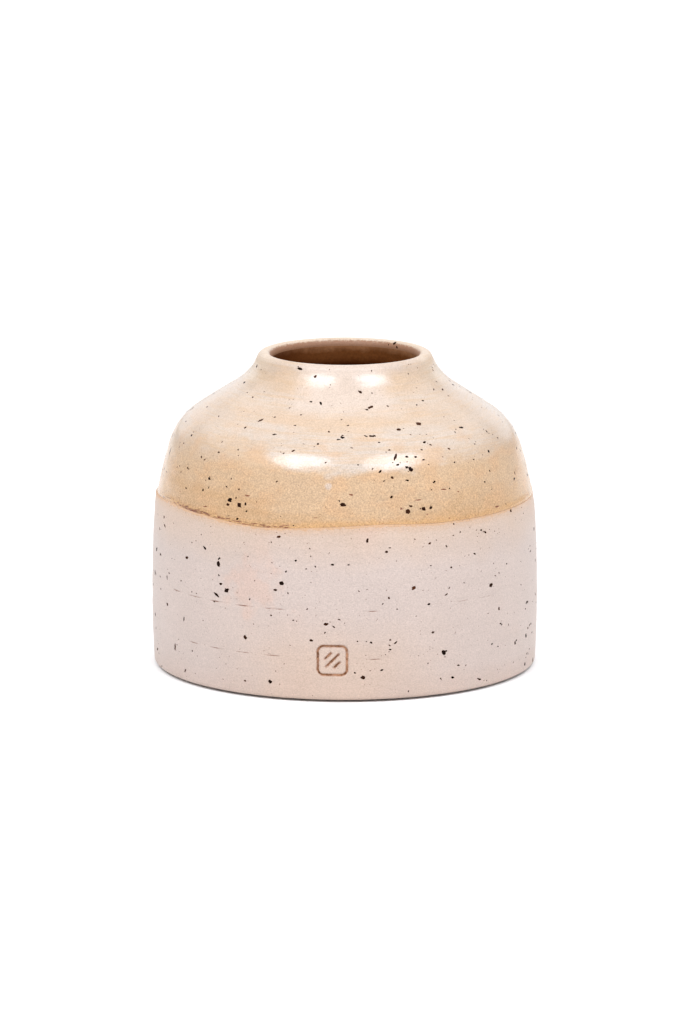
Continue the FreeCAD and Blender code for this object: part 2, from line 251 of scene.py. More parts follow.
def up_wall(fine_spans):
    """The bare wall from its lower edge to the ledge, with closer points over the spans of height."""
    pieces = [arc(EDGE_CENTRE, EDGE_ROUND, -90, EDGE_TOUCH, WALL_STEP / 2)]
    reached = EDGE_TOUCH
    for low, high in fine_spans:
        first, last = wall_direction(low), wall_direction(high)
        pieces.append(arc(WALL_CENTRE, WALL_SWEEP, reached, first, WALL_STEP))
        pieces.append(arc(WALL_CENTRE, WALL_SWEEP, first, last, FINE_STEP))
        reached = last
    return chain(
        *pieces,
        arc(WALL_CENTRE, WALL_SWEEP, reached, RIDGE_TOUCH, WALL_STEP),
        arc(RIDGE_CENTRE, RIDGE_ROUND, RIDGE_TOUCH, 90, WALL_STEP / 3),
        line((RIDGE_CENTRE[0], LEDGE_HEIGHT), (LEDGE_RADIUS, LEDGE_HEIGHT), WALL_STEP / 2),
    )


# ---------------------------------------------------------------- relief: how the hand-made surface departs

def smooth(low, high, value):
    """0 below low, 1 above high, and a smooth climb between."""
    t = np.clip((value - low) / (high - low), 0, 1)
    return t * t * (3 - 2 * t)


def bump(value, width):
    return np.exp(-(value / width) ** 2)


def wrapped(azimuth):
    """The azimuth brought to within half a turn of the front."""
    return (azimuth + math.pi) % (2 * math.pi) - math.pi


def waves(azimuth, height, seed, turns, pitch, count=24):
    """A seamless random field of about -1 to 1: up to turns waves a turn, and at least pitch mm a wave up."""
    rng = np.random.default_rng(seed)
    total = 0
    for _ in range(count):
        around, rise = rng.integers(0, turns + 1), rng.uniform(-1, 1) / pitch
        phase = rng.uniform(0, 2 * math.pi)
        total = total + np.cos(around * azimuth + 2 * math.pi * rise * height + phase)
    return total / math.sqrt(2 * count)


def out_of_round(azimuth, height):
    """The pot is never quite round. It only ever goes inward, and the foot and the lip are trued."""
    oval = 0.05 * (np.cos(2 * azimuth + 3.0) - 1) + 0.015 * (np.cos(3 * azimuth - 1.1) - 1)
    return oval * smooth(1.5, 12, height) * (1 - 0.6 * smooth(68, 78, height))


# Where the hand-made ledge sags or climbs: middle and reach of each sway in degrees, and its rise.
LEDGE_SWAYS = (
    (-64, 16, 0.75), (-22, 15, -0.95), (14, 12, 0.55), (112, 28, 0.35), (160, 24, -0.45), (-125, 26, -0.3),
)
LEDGE_WAVER = 0.07
LEDGE_FADE = 8.0
# Azimuth at which the ridge of clay is thinnest and the coat's roll over it is fullest.
FULL_SIDE = 1.4


def ledge_lift(azimuth, height):
    """How far the ledge and the dip line climb, fading out above and below them."""
    lift = LEDGE_WAVER * waves(azimuth, 0 * azimuth, SEED + 1, 9, 1)
    for middle, reach, rise in LEDGE_SWAYS:
        lift = lift + rise * bump(wrapped(azimuth - math.radians(middle)), math.radians(reach))
    return lift * bump(height - LEDGE_HEIGHT, LEDGE_FADE)


def above_ledge(points):
    """Height of each point above the ledge where it stands."""
    azimuth = np.arctan2(points[:, 0], -points[:, 1])
    return points[:, 2] - LEDGE_HEIGHT - ledge_lift(azimuth, LEDGE_HEIGHT)


def chop_plane(azimuth, height):
    """Millimetres to the right of and above the middle of the chop."""
    return wrapped(azimuth) * MAX_RADIUS, height - CHOP_HEIGHT


def from_square(across, up, half, corner):
    """Signed distance outside a square with rounded corners."""
    over = np.abs(across) - half + corner, np.abs(up) - half + corner
    outside = np.hypot(np.maximum(over[0], 0), np.maximum(over[1], 0))
    return outside + np.minimum(np.maximum(*over), 0) - corner


def chop_groove(azimuth, height):
    """1 along the bottom of the chop's grooves and 0 away from them."""
    across, up = chop_plane(azimuth, height)
    inset = CHOP_LINE / 2
    gap = np.abs(from_square(across, up, CHOP_SIZE / 2 - inset, CHOP_CORNER - inset))
    along = across * math.cos(STROKE_SLANT) + up * math.sin(STROKE_SLANT)
    aside = up * math.cos(STROKE_SLANT) - across * math.sin(STROKE_SLANT)
    for offset, length in STROKES:
        gap = np.minimum(gap, np.hypot(np.maximum(np.abs(along) - length / 2, 0), aside - offset))
    ragged = 0.05 * np.cos(5.1 * across + 2) * np.cos(4.3 * up) + 0.03 * np.cos(11 * up - 7 * across)
    return 1 - smooth(CHOP_SOFT, inset + CHOP_SOFT, gap + ragged)


def chop_relief(azimuth, height):
    """The pressed grooves, deeper towards one corner, and the clay that the stamp moved round them."""
    across, up = chop_plane(azimuth, height)
    pressed = 0.82 + 0.03 * (up - across)
    outside = from_square(across, up, CHOP_SIZE / 2, CHOP_CORNER)
    bulge = 0.06 * bump(outside - 0.35, 0.35)
    sunk = 0.07 * (1 - smooth(-0.3, 1.3, outside))
    return bulge - sunk - CHOP_DEPTH * pressed * chop_groove(azimuth, height)


# Rings left by the trimming tool: height, depth, and the span of azimuth in degrees that each one fades over.
Ring = namedtuple("Ring", "height depth start end")
FRONT_RINGS = [
    Ring(23.7, 0.09, -62, -6), Ring(23.5, 0.09, 3, 17), Ring(24.3, 0.06, 26, 58), Ring(11.6, 0.07, -54, -6),
    Ring(11.1, 0.09, 7, 19), Ring(36.3, 0.06, -11, 3), Ring(16.6, 0.03, -30, 20), Ring(31.0, 0.03, 20, 80),
]
BACK_RINGS = 10
RING_WIDTH = 0.2
DEEPEST_RING = max(ring.depth for ring in FRONT_RINGS)


def ring_list():
    """The trimming rings of the front, and others at random round the back."""
    rng = np.random.default_rng(SEED + 2)
    rings = list(FRONT_RINGS)
    for _ in range(BACK_RINGS):
        height = rng.choice([rng.uniform(9.5, 14.5), rng.uniform(23.2, 24.6), rng.uniform(3, 40)])
        start = rng.uniform(75, 250)
        rings.append(Ring(height, rng.uniform(0.04, 0.09), start, start + rng.uniform(15, 60)))
    return rings


RINGS = ring_list()


def trim_grooves(azimuth, height):
    """Depth of the trimming rings, in millimetres."""
    depth = 0
    for ring in RINGS:
        reach = (ring.end - ring.start) / 2
        away = np.abs(np.degrees(wrapped(azimuth - math.radians(ring.start + reach))))
        level = ring.height + 0.1 * np.cos(4 * azimuth + ring.height)
        gate = (1 - smooth(reach - 7, reach, away)) * (0.6 + 0.4 * np.cos(37 * azimuth + ring.height))
        depth = depth + ring.depth * gate * bump(height - level, RING_WIDTH)
    return depth


# Heights from one throwing ring to the next: on the bare wall, under the dipped coat, and inside.
SWELL_PITCH = 6.3
THROWN_PITCH = 4.3
FINGER_PITCH = 5.1
# Where the shoulder bulges most, and how far above and below that it fades.
BULGE_HEIGHT = 67.5
BULGE_FADE = 7.0


def clay_relief(azimuth, height):
    """Out of round, faint throwing swells, trimming rings, a ridge that thins on one side, and the chop."""
    swell = 0.02 * np.sin(2 * math.pi * height / SWELL_PITCH + azimuth)
    swell = swell + 0.02 * waves(azimuth, height, SEED + 3, 12, 2.2)
    thinned = 0.15 * (1 + np.cos(azimuth - FULL_SIDE)) * smooth(LEDGE_HEIGHT - 4, LEDGE_HEIGHT - 0.5, height)
    worked = swell - 0.04 - thinned - trim_grooves(azimuth, height) + chop_relief(azimuth, height)
    return out_of_round(azimuth, height) + worked * smooth(UNDERCUT_HEIGHT, 2.5, height)


def fuller_shoulder(azimuth, height):
    """The shoulder bulges a little at both sides, more at one of them."""
    band = bump(height - BULGE_HEIGHT, BULGE_FADE) * (1 - smooth(74, 79, height))
    return (0.5 - 0.25 * np.sin(azimuth)) * np.sin(azimuth) ** 2 * band


def dipped_relief(azimuth, height):
    """The dipped coat: throwing rings that show through, and a thick uneven roll along its lower edge."""
    turn = 2 * math.pi * height / THROWN_PITCH + azimuth + 1.5 * waves(azimuth, height, SEED + 4, 3, 20)
    flow = 0.012 * np.sin(turn) + 0.02 * waves(azimuth, height, SEED + 5, 14, 5)
    above = height - LEDGE_HEIGHT
    full = 0.08 + 0.05 * (1 + np.cos(azimuth - FULL_SIDE))
    roll = full * (1 + 0.35 * waves(azimuth, 0 * azimuth, SEED + 6, 60, 1)) * bump(above - 0.35, 0.9)
    flow = flow * (1 - smooth(76, 80, height))
    return out_of_round(azimuth, height) + fuller_shoulder(azimuth, height) + flow + roll


def liner_relief(azimuth, height):
    """Finger rings left inside by throwing, softened by the poured coat."""
    return 0.06 * np.sin(2 * math.pi * height / FINGER_PITCH + azimuth) * (1 - smooth(72, 78, height))


def flat_relief(azimuth, height):
    return 0 * azimuth * height


Skin = namedtuple("Skin", "walk length normal relief")


def make_skin(walk, relief, outward=False):
    """A turned surface: its walk, the length along that, the way its relief goes, and the relief."""
    step = np.gradient(walk, axis=0)
    normal = np.column_stack([step[:, 1], -step[:, 0]]) / np.linalg.norm(step, axis=1)[:, None]
    if outward:
        normal = np.tile((1.0, 0.0), (len(walk), 1))
    length = np.concatenate([[0], np.cumsum(np.linalg.norm(np.diff(walk, axis=0), axis=1))])
    return Skin(walk, length, normal, relief)


def on_skin(skin, azimuth, along, lift=0.0):
    """Points of the skin at these azimuths and lengths along it, raised by lift."""
    columns = (*skin.walk.T, *skin.normal.T)
    radius, height, out, up = (np.interp(along, skin.length, column) for column in columns)
    depart = skin.relief(azimuth, height) + lift
    reach = radius + out * depart
    level = height + up * depart + ledge_lift(azimuth, height)
    return np.stack(np.broadcast_arrays(reach * np.sin(azimuth), -reach * np.cos(azimuth), level), axis=-1)


def length_at(skin, height):
    """Length along the skin up to a height. It holds up to the skin's top."""
    top = np.argmax(skin.walk[:, 1]) + 1
    return np.interp(height, skin.walk[:top, 1], skin.length[:top])


# The two spans of height that need closer points: the chop, and the deepest trimming rings.
CHOP_REACH = CHOP_SIZE / 2 + CHOP_MARGIN
FINE_SPANS = [(CHOP_HEIGHT - CHOP_REACH, CHOP_HEIGHT + CHOP_REACH), (23.0, 24.9)]
FOOT_SKIN = make_skin(under_foot(), flat_relief)
WALL_SKIN = make_skin(up_wall(FINE_SPANS), clay_relief, outward=True)
COVERED_SKIN = make_skin(over_shoulder(GLAZE, HIDDEN_STEP), out_of_round)
INSIDE_SKIN = make_skin(down_inside(0.0, HIDDEN_STEP), flat_relief)
DIPPED_SKIN = make_skin(over_shoulder(0.0, WALL_STEP), dipped_relief)
LINER_SKIN = make_skin(down_inside(GLAZE, 1.0), liner_relief)


# ---------------------------------------------------------------- meshes

def make_piece(name, points, faces, material, slot):
    """A smooth mesh piece that rides on the vase and takes the material it is given. The slot is not used."""
    mesh = bpy.data.meshes.new(name)
    mesh.from_pydata((np.asarray(points) * MM).tolist(), [], faces)
    mesh.shade_smooth()
    mesh.set_sharp_from_angle(angle=SHARP_ANGLE)
    mesh.materials.append(material)
    piece = bpy.data.objects.new(name, mesh)
    bpy.context.scene.collection.objects.link(piece)
    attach(piece, "root")
    return piece


def paint(piece, name, values):
    """Gives each vertex of the piece a number that its material can read."""
    attribute = piece.data.attributes.new(name, "FLOAT", "POINT")
    attribute.data.foreach_set("value", np.asarray(values, np.float32))


def loop_faces(rows, columns, first=0):
    """Quads between rows of points that each close round on themselves."""
    faces = []
    for row in range(rows - 1):
        low = first + row * columns
        for column in range(columns):
            after = (column + 1) % columns
            faces.append((low + column, low + after, low + columns + after, low + columns + column))
    return faces


def cap_faces(middle, ring, columns, outward):
    """A fan of triangles from the point middle to the loop that starts at ring."""
    order = 1 if outward else -1
    return [(middle, ring + column, ring + (column + order) % columns) for column in range(columns)]


def turned_form(rows):
    """Points and faces of a closed form that starts and ends on the axis."""
    count, columns = len(rows) - 2, rows.shape[1]
    points = np.concatenate([rows[1:-1].reshape(-1, 3), rows[0, :1], rows[-1, :1]])
    faces = loop_faces(count, columns)
    faces += cap_faces(len(points) - 2, 0, columns, outward=False)
    faces += cap_faces(len(points) - 1, (count - 1) * columns, columns, outward=True)
    return points, faces


def turned_band(rows):
    """Points and faces of a closed form that goes round the axis without touching it."""
    count, columns = rows.shape[:2]
    faces = loop_faces(count, columns)
    for column in range(columns):
        after = (column + 1) % columns
        low = (count - 1) * columns
        faces.append((low + column, low + after, after, column))
    return rows.reshape(-1, 3), faces


def rows_of(skin, azimuths):
    return on_skin(skin, azimuths[None, :], skin.length[:, None])


def even_azimuths(radius):
    return np.linspace(-math.pi, math.pi, math.ceil(2 * math.pi * radius / ROUND_STEP), endpoint=False)


def azimuths_close_at_chop():
    """Azimuths round the wall, closer together across the chop."""
    reach = CHOP_REACH / MAX_RADIUS
    fine = np.linspace(-reach, reach, math.ceil(2 * reach * MAX_RADIUS / FINE_STEP))
    rest = 2 * math.pi - 2 * reach
    coarse = np.linspace(reach, reach + rest, math.ceil(rest * MAX_RADIUS / ROUND_STEP))[1:-1]
    return np.concatenate([fine, coarse])


def make_clay(material):
    """The whole pot of clay: the foot, wall and ledge that show, and the faces that the two coats cover."""
    azimuths = azimuths_close_at_chop()
    skins = (FOOT_SKIN, WALL_SKIN, COVERED_SKIN, INSIDE_SKIN)
    rows = [rows_of(skin, azimuths)[index > 0:] for index, skin in enumerate(skins)]
    points, faces = turned_form(np.concatenate(rows))
    piece = make_piece("clay_body", points, faces, material, "bare_stoneware")
    azimuth, height = np.arctan2(points[:, 0], -points[:, 1]), points[:, 2]
    outside = np.hypot(points[:, 0], points[:, 1]) > CAVITY_RADIUS + 1
    paint(piece, "groove", chop_groove(azimuth, height) * outside)
    paint(piece, "ring", np.minimum(trim_grooves(azimuth, height) / DEEPEST_RING, 1) * outside)
    paint(piece, "above_ledge", above_ledge(points))
    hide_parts("stoneware_body")
    return piece


def make_dipped_coat(material):
    azimuths = even_azimuths(LEDGE_RADIUS)
    rows = np.concatenate([rows_of(DIPPED_SKIN, azimuths), rows_of(COVERED_SKIN, azimuths)[::-1]])
    points, faces = turned_band(rows)
    piece = make_piece("dipped_glaze_coat", points, faces, material, "honey_glaze")
    paint(piece, "above_ledge", above_ledge(points))
    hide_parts("shoulder_glaze")
    return piece


def make_poured_coat(material):
    azimuths = even_azimuths(CAVITY_RADIUS)
    rows = np.concatenate([rows_of(INSIDE_SKIN, azimuths)[::-1], rows_of(LINER_SKIN, azimuths)])
    piece = make_piece("poured_liner_coat", *turned_form(rows), material, "liner_glaze")
    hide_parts("liner_glaze")
    return piece


PATH_STEP = 0.15
# Across a ribbon of the chop's wash: places as shares of its half width, each with its lift.
WASH_SECTION = [(-1, -0.06), (1, -0.06), (1, 0.0), (0.5, 0.035), (0, 0.045), (-0.5, 0.035), (-1, 0.0)]


def chop_paths():
    """Middle lines of the chop's frame and strokes, as points in the plane of the chop."""
    inset = CHOP_LINE / 2
    half, corner = CHOP_SIZE / 2 - inset, CHOP_CORNER - inset
    frame_line = []
    for quarter in range(4):
        centre = towards((0, 0), math.sqrt(2) * (half - corner), 45 + 90 * quarter)
        frame_line += arc(centre, corner, 90 * quarter, 90 * quarter + 90, PATH_STEP)
    closed = chain(*[line(a, b, PATH_STEP) for a, b in zip(frame_line, frame_line[1:] + frame_line[:1])])
    paths = [closed]
    for offset, length in STROKES:
        middle = towards((0, 0), offset, 90 + math.degrees(STROKE_SLANT))
        ends = [towards(middle, side * length / 2, math.degrees(STROKE_SLANT)) for side in (-1, 1)]
        paths.append(chain(line(*ends, PATH_STEP)))
    return paths


def make_chop_wash(material):
    """Ribbons of iron oxide with uneven edges, lying in the bottom of the chop's grooves."""
    rng = np.random.default_rng(SEED + 7)
    points, faces, tone = [], [], []
    for path in chop_paths():
        step = np.gradient(path, axis=0)
        side = np.column_stack([-step[:, 1], step[:, 0]]) / np.linalg.norm(step, axis=1)[:, None]
        order = np.arange(len(path))
        knots = rng.normal(0, 0.065, len(path) // 3 + 2)
        ragged = np.interp(order / 3, np.arange(len(knots)), knots)
        tapered = np.minimum(1, 0.25 + 0.25 * np.minimum(order, order[::-1]))
        half = np.clip(0.24 + ragged, 0.12, 0.3) * tapered
        first = len(points)
        for spot, aside, width in zip(path, side, half):
            for across, lift in WASH_SECTION:
                place = spot + aside * across * width
                azimuth, height = place[0] / MAX_RADIUS, place[1] + CHOP_HEIGHT
                points.append(on_skin(WALL_SKIN, azimuth, length_at(WALL_SKIN, height), lift))
        columns = len(WASH_SECTION)
        faces += loop_faces(len(path), columns, first)
        faces.append(tuple(first + column for column in range(columns))[::-1])
        last = first + (len(path) - 1) * columns
        faces.append(tuple(last + column for column in range(columns)))
    piece = make_piece("chop_oxide_wash", points, faces, material, "iron_oxide")
    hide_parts("stamp_oxide")
    return piece


# ---------------------------------------------------------------- iron specks

# A speck: azimuth in degrees, height, length, width and tilt.
Speck = namedtuple("Speck", "azimuth height length width tilt")
# Specks on the lip, each given by its way past the crest in place of its height.
LIP_SPECKS = [Speck(142, 1.3, 1.1, 1.0, 0), Speck(138, 2.3, 0.6, 0.6, 0), Speck(147, 2.0, 0.4, 0.4, 0)]
# The span of azimuth, thickest at its middle, where the glaze crawled.
CRAWL_SPAN = (-64.0, -50.0, -12.0)
CRAWL_COUNT = 64
RUST_COUNT = 26
RUST_REACH = 9.0
SPECKS_PER_AREA = 0.043
SPECK_MEDIAN = 0.42
SPECK_SPREAD = 0.58
SPECK_LARGEST = 1.25
CLUSTERED = 0.15
OUTLINE_POINTS = 11

# A speck's section: share of its outline, lift above the surface, and how much of the dark core shows.
SPECK_SECTION = ((1.0, -0.06, 0.0), (1.0, 0.003, 0.1), (0.8, 0.018, 0.9), (0.45, 0.024, 1.0))


def random_specks(skin, low, high, rng):
    """Specks at random over a band of the skin, as many for each area, with a few in clusters."""
    first, last = length_at(skin, low), length_at(skin, high)
    spread = np.linspace(first, last, 200)
    radius = np.interp(spread, skin.length, skin.walk[:, 0])
    area = 2 * math.pi * np.sum((radius[1:] + radius[:-1]) / 2 * np.diff(spread))
    share = np.concatenate([[0], np.cumsum((radius[1:] + radius[:-1]) / 2)])
    specks = []
    for _ in range(round(area * SPECKS_PER_AREA)):
        if specks and rng.random() < CLUSTERED:
            near = specks[-1]
            azimuth, along = near[0] + rng.normal(0, 0.03), near[1] + rng.normal(0, 1.2)
        else:
            azimuth = rng.uniform(-math.pi, math.pi)
            along = np.interp(rng.uniform(0, share[-1]), share, spread)
        size = min(SPECK_MEDIAN * math.exp(rng.normal(0, SPECK_SPREAD)), SPECK_LARGEST)
        stretch = math.sqrt(rng.uniform(1, 2.2))
        along = float(np.clip(along, first, last))
        specks.append((azimuth, along, size * stretch, size / stretch, rng.normal(0, 0.7)))
    return specks


def lip_specks(skin):
    crest = skin.length[np.argmax(skin.walk[:, 1])]
    return [(math.radians(speck.azimuth), crest + speck.height, speck.length, speck.width,
             math.radians(speck.tilt)) for speck in LIP_SPECKS]


def clear_of_chop(speck):
    across, up = chop_plane(speck[0], np.interp(speck[1], WALL_SKIN.length, WALL_SKIN.walk[:, 1]))
    return from_square(across, up, CHOP_SIZE / 2, CHOP_CORNER) > 0.5


def crawl_marks(rng):
    """Short dashes along the glaze line, where the roll drew back at one side."""
    marks = []
    for _ in range(CRAWL_COUNT):
        azimuth = math.radians(rng.triangular(*CRAWL_SPAN))
        height = LEDGE_HEIGHT + rng.uniform(0.1, 0.75)
        along = float(length_at(DIPPED_SKIN, height))
        marks.append((azimuth, along, rng.uniform(0.7, 2.4), rng.uniform(0.13, 0.26), rng.normal(0.03, 0.07)))
    return marks


def rust_marks(rng):
    """Rusty dashes at random round the honey band, more of them near the ledge."""
    marks = []
    for _ in range(RUST_COUNT):
        height = LEDGE_HEIGHT + 0.3 + RUST_REACH * rng.random() ** 2
        marks.append((rng.uniform(-math.pi, math.pi), float(length_at(DIPPED_SKIN, height)),
                      rng.uniform(0.5, 1.7), rng.uniform(0.2, 0.45), rng.normal(0, 0.12)))
    return marks


def make_specks(name, skin, specks, material, slot, seed):
    """Low blobs of iron with ragged outlines, each closed and a little sunk into the surface."""
    rng = np.random.default_rng(seed)
    angles = np.linspace(0, 2 * math.pi, OUTLINE_POINTS, endpoint=False)
    points, faces, core, tone = [], [], [], []
    for azimuth, along, length, width, tilt in specks:
        ragged = 1 + 0.16 * rng.normal(size=OUTLINE_POINTS) + 0.15 * np.cos(2 * angles + rng.uniform(0, 6))
        across = length / 2 * ragged * np.cos(angles)
        up = width / 2 * ragged * np.sin(angles)
        turned = across * math.cos(tilt) - up * math.sin(tilt), across * math.sin(tilt) + up * math.cos(tilt)
        radius = np.interp(along, skin.length, skin.walk[:, 0])
        flatness = min(1, width / 0.4)
        first = len(points)
        for share, lift, dark in SPECK_SECTION:
            points.extend(on_skin(skin, azimuth + turned[0] * share / radius, along + turned[1] * share,
                                  lift * flatness if lift > 0 else lift))
            core += [dark] * OUTLINE_POINTS
        for lift, dark in ((SPECK_SECTION[0][1], 0.0), (0.026 * flatness, 1.0)):
            points.append(on_skin(skin, azimuth, along, lift))
            core.append(dark)
        rings = len(SPECK_SECTION)
        faces += loop_faces(rings, OUTLINE_POINTS, first)
        faces += cap_faces(len(points) - 2, first, OUTLINE_POINTS, outward=False)
        inmost = first + (rings - 1) * OUTLINE_POINTS
        faces += cap_faces(len(points) - 1, inmost, OUTLINE_POINTS, outward=True)
        tone += [rng.beta(1.2, 3.5)] * (len(points) - first)
    piece = make_piece(name, points, faces, material, slot)
    paint(piece, "core", core)
    paint(piece, "tone", tone)
    return piece


# ---------------------------------------------------------------- materials

def srgb(red, green, blue):
    """An sRGB colour of 0 to 255 as the linear colour that shaders use."""
    channels = [value / 255 for value in (red, green, blue)]
    return [c / 12.92 if c <= 0.04045 else ((c + 0.055) / 1.055) ** 2.4 for c in channels] + [1.0]


class Finish:
    """A material made of nodes. Each method adds a node and returns its output."""

    def __init__(self, name):
        self.material = bpy.data.materials.new(name)
        self.material.use_nodes = True
        self.tree = self.material.node_tree
        self.shader = self.tree.nodes["Principled BSDF"]
        self.place = self.scaled(self.node("ShaderNodeTexCoord").outputs["Object"], (1 / MM,) * 3)
        apart = self.node("ShaderNodeSeparateXYZ", Vector=self.place)
        self.height = apart.outputs["Z"]
        length = self.node("ShaderNodeVectorMath")
        length.operation = "LENGTH"
        self.feed(length.inputs[0], self.scaled(self.place, (1, 1, 0)))
        self.radius = length.outputs["Value"]
        self.azimuth = self.math("ARCTAN2", apart.outputs["X"], self.times(apart.outputs["Y"], -1.0))

    def node(self, kind, **inputs):
        node = self.tree.nodes.new(kind)
        for name, value in inputs.items():
            self.feed(node.inputs[name.replace("_", " ")], value)
        return node

    def feed(self, socket, value):
        if isinstance(value, bpy.types.NodeSocket):
            self.tree.links.new(value, socket)
        else:
            socket.default_value = value

    def math(self, operation, a, b=0.0, c=0.0):
        node = self.node("ShaderNodeMath")
        node.operation = operation
        for socket, value in zip(node.inputs, (a, b, c)):
            self.feed(socket, value)
        return node.outputs[0]

    def times(self, a, b):
        return self.math("MULTIPLY", a, b)

    def plus(self, a, b):
        return self.math("ADD", a, b)

    def distance(self, point):
        """Millimetres from a point."""
        node = self.node("ShaderNodeVectorMath")
        node.operation = "DISTANCE"
        self.feed(node.inputs[0], self.place)
        node.inputs[1].default_value = point
        return node.outputs["Value"]

    def scaled(self, vector, factors):
        node = self.node("ShaderNodeVectorMath")
        node.operation = "MULTIPLY"
        self.feed(node.inputs[0], vector)
        node.inputs[1].default_value = factors
        return node.outputs[0]

    def noise(self, wave, flat=1.0, detail=3.0, seed=0.0):
        """Noise with waves of about that many millimetres, squeezed flat in height."""
        node = self.node("ShaderNodeTexNoise", Scale=1.0, Detail=detail)
        node.noise_dimensions = "4D"
        node.inputs["W"].default_value = seed
        self.feed(node.inputs["Vector"], self.scaled(self.place, (1 / wave, 1 / wave, flat / wave)))
        return node.outputs["Fac"]

    def span(self, value, low, high, out_low=0.0, out_high=1.0, easing="SMOOTHSTEP"):
        """Maps low to high onto the outputs, clamped."""
        node = self.node("ShaderNodeMapRange")
        node.interpolation_type = easing
        for socket, given in zip(node.inputs, (value, low, high, out_low, out_high)):
            self.feed(socket, given)
        return node.outputs["Result"]

    def spread(self, value, amount):
        """A noise of 0 to 1 as a departure of about minus to plus amount."""
        return self.math("MULTIPLY_ADD", value, 4 * amount, -2 * amount)

    def attribute(self, name):
        node = self.node("ShaderNodeAttribute")
        node.attribute_name = name
        return node.outputs["Fac"]

    def mix(self, factor, a, b, blend="MIX"):
        node = self.node("ShaderNodeMix")
        node.data_type = "RGBA"
        node.blend_type = blend
        self.feed(node.inputs[0], factor)
        self.feed(node.inputs[6], a)
        self.feed(node.inputs[7], b)
        return node.outputs[2]

    def ramp(self, value, low, high, stops):
        """Colours at places between low and high."""
        node = self.node("ShaderNodeValToRGB", Fac=self.span(value, low, high, easing="LINEAR"))
        elements = node.color_ramp.elements
        while len(elements) < len(stops):
            elements.new(0.5)
        for element, (place, colour) in zip(elements, stops):
            element.position = (place - low) / (high - low)
            element.color = colour
        return node.outputs["Color"]

    def shade(self, colour, amount):
        """The colour made lighter or darker by a departure round 0."""
        bright = self.plus(amount, 1.0)
        grey = self.node("ShaderNodeCombineColor", Red=bright, Green=bright, Blue=bright).outputs["Color"]
        return self.mix(1.0, colour, grey, "MULTIPLY")

    def bump(self, height, depth, below=None):
        """Bumps of that depth in millimetres."""
        node = self.node("ShaderNodeBump", Height=height, Distance=depth * MM, Strength=1.0)
        if below is not None:
            self.feed(node.inputs["Normal"], below)
        return node.outputs["Normal"]

    def finish(self, colour, roughness, normal, **constants):
        sockets = {"Base_Color": colour, "Roughness": roughness, "Normal": normal, **constants}
        for name, value in sockets.items():
            self.feed(self.shader.inputs[name.replace("_", " ")], value)
        return self.material


CLAY_COLOUR = srgb(187, 171, 163)
CLAY_BASE = srgb(188, 168, 157)
CLAY_WARM = srgb(190, 167, 151)
CLAY_UNDER_GLAZE = srgb(189, 167, 151)
CLAY_BLUSH = srgb(195, 165, 150)
CLAY_STAIN = srgb(150, 98, 66)
CLAY_SCRATCH = srgb(112, 76, 57)
CLAY_SOAKED = srgb(190, 152, 118)
HONEY_EDGE = srgb(187, 146, 100)
HONEY_DARK = srgb(182, 147, 109)
HONEY = srgb(186, 156, 124)
CREAM = srgb(187, 171, 157)
CREAM_STREAK = srgb(188, 163, 139)
# Painted shade: a duller cream for the shoulder's sides.
CREAM_PAINTED_SHADE = srgb(185, 164, 145)
# Painted light: a lighter cream for the neck's sides.
FLANK_PAINTED_LIGHT = srgb(198, 179, 158)
# Painted highlight: a paler cream for the neck's front under the soft boxes' highlights.
NECK_PAINTED_HIGHLIGHT = srgb(194, 176, 162)
HONEY_WARM = srgb(192, 151, 112)
LIP_CREAM = srgb(188, 170, 157)
# The liner's colours from the lip down into the throat darken with painted shade; the floor keeps the glaze's
# own colour.
LINER_LIP = srgb(140, 96, 65)
LINER_TAN = srgb(104, 60, 29)
LINER_PAINTED_SHADE = srgb(70, 30, 9)
LINER_POOL = srgb(150, 112, 82)
OXIDE = srgb(108, 70, 46)
OXIDE_THIN = srgb(172, 128, 98)
IRON = srgb(12, 6, 4)
IRON_BROWN = srgb(78, 44, 27)
IRON_RIM = srgb(86, 52, 35)
RUST = srgb(108, 64, 46)
RUST_PALE = srgb(152, 104, 76)


# Middles of the blush on the clay and of the pale pinhole in the honey band.
BLUSH_PLACE = (-21.0, -45.5, 28.5)
PINHOLE_PLACE = (-1.3, -46.2, 55.0)
# The cream runs lowest over the honey band at one azimuth, by the front, and stands higher to both sides of
# it: partly a glaze run, partly a painted reflection of a bright area between the soft boxes.
RUN_AND_REFLECTION_AZIMUTH = 0.06
RUN_AND_REFLECTION_REACH = 0.75
RUN_AND_REFLECTION_DROP = 3.6


